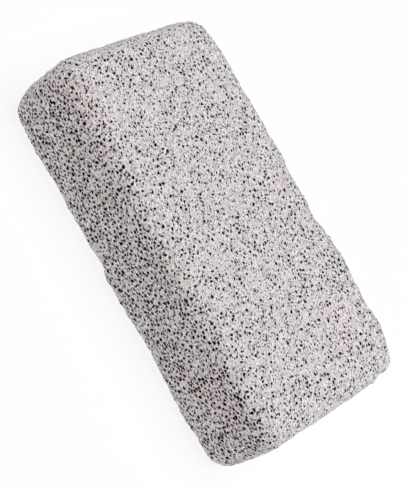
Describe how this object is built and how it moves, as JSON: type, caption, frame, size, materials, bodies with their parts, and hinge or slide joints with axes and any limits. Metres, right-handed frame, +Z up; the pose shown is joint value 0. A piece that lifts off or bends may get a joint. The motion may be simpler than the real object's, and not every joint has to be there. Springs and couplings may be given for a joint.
{
  "type": "pumice stone",
  "caption": "Rounded rectangular block of pale porous volcanic glass foam, worn at its edges and pitted all over, for rubbing hard skin.",
  "frame": {"origin": "middle of the flat bottom face, at the centre of the bounding box in plan", "axes": "+X along the length, +Y across the width, +Z up through the thickness, so the block lies on a broad face"},
  "size_m": [0.1003, 0.0525, 0.0256],
  "materials": {
    "pumice": "matte and rough, sawn and rubbed, open with burst bubbles"
  },
  "bodies": {
    "root": {"pumice_stone": "pumice"}
  },
  "joints": []
}
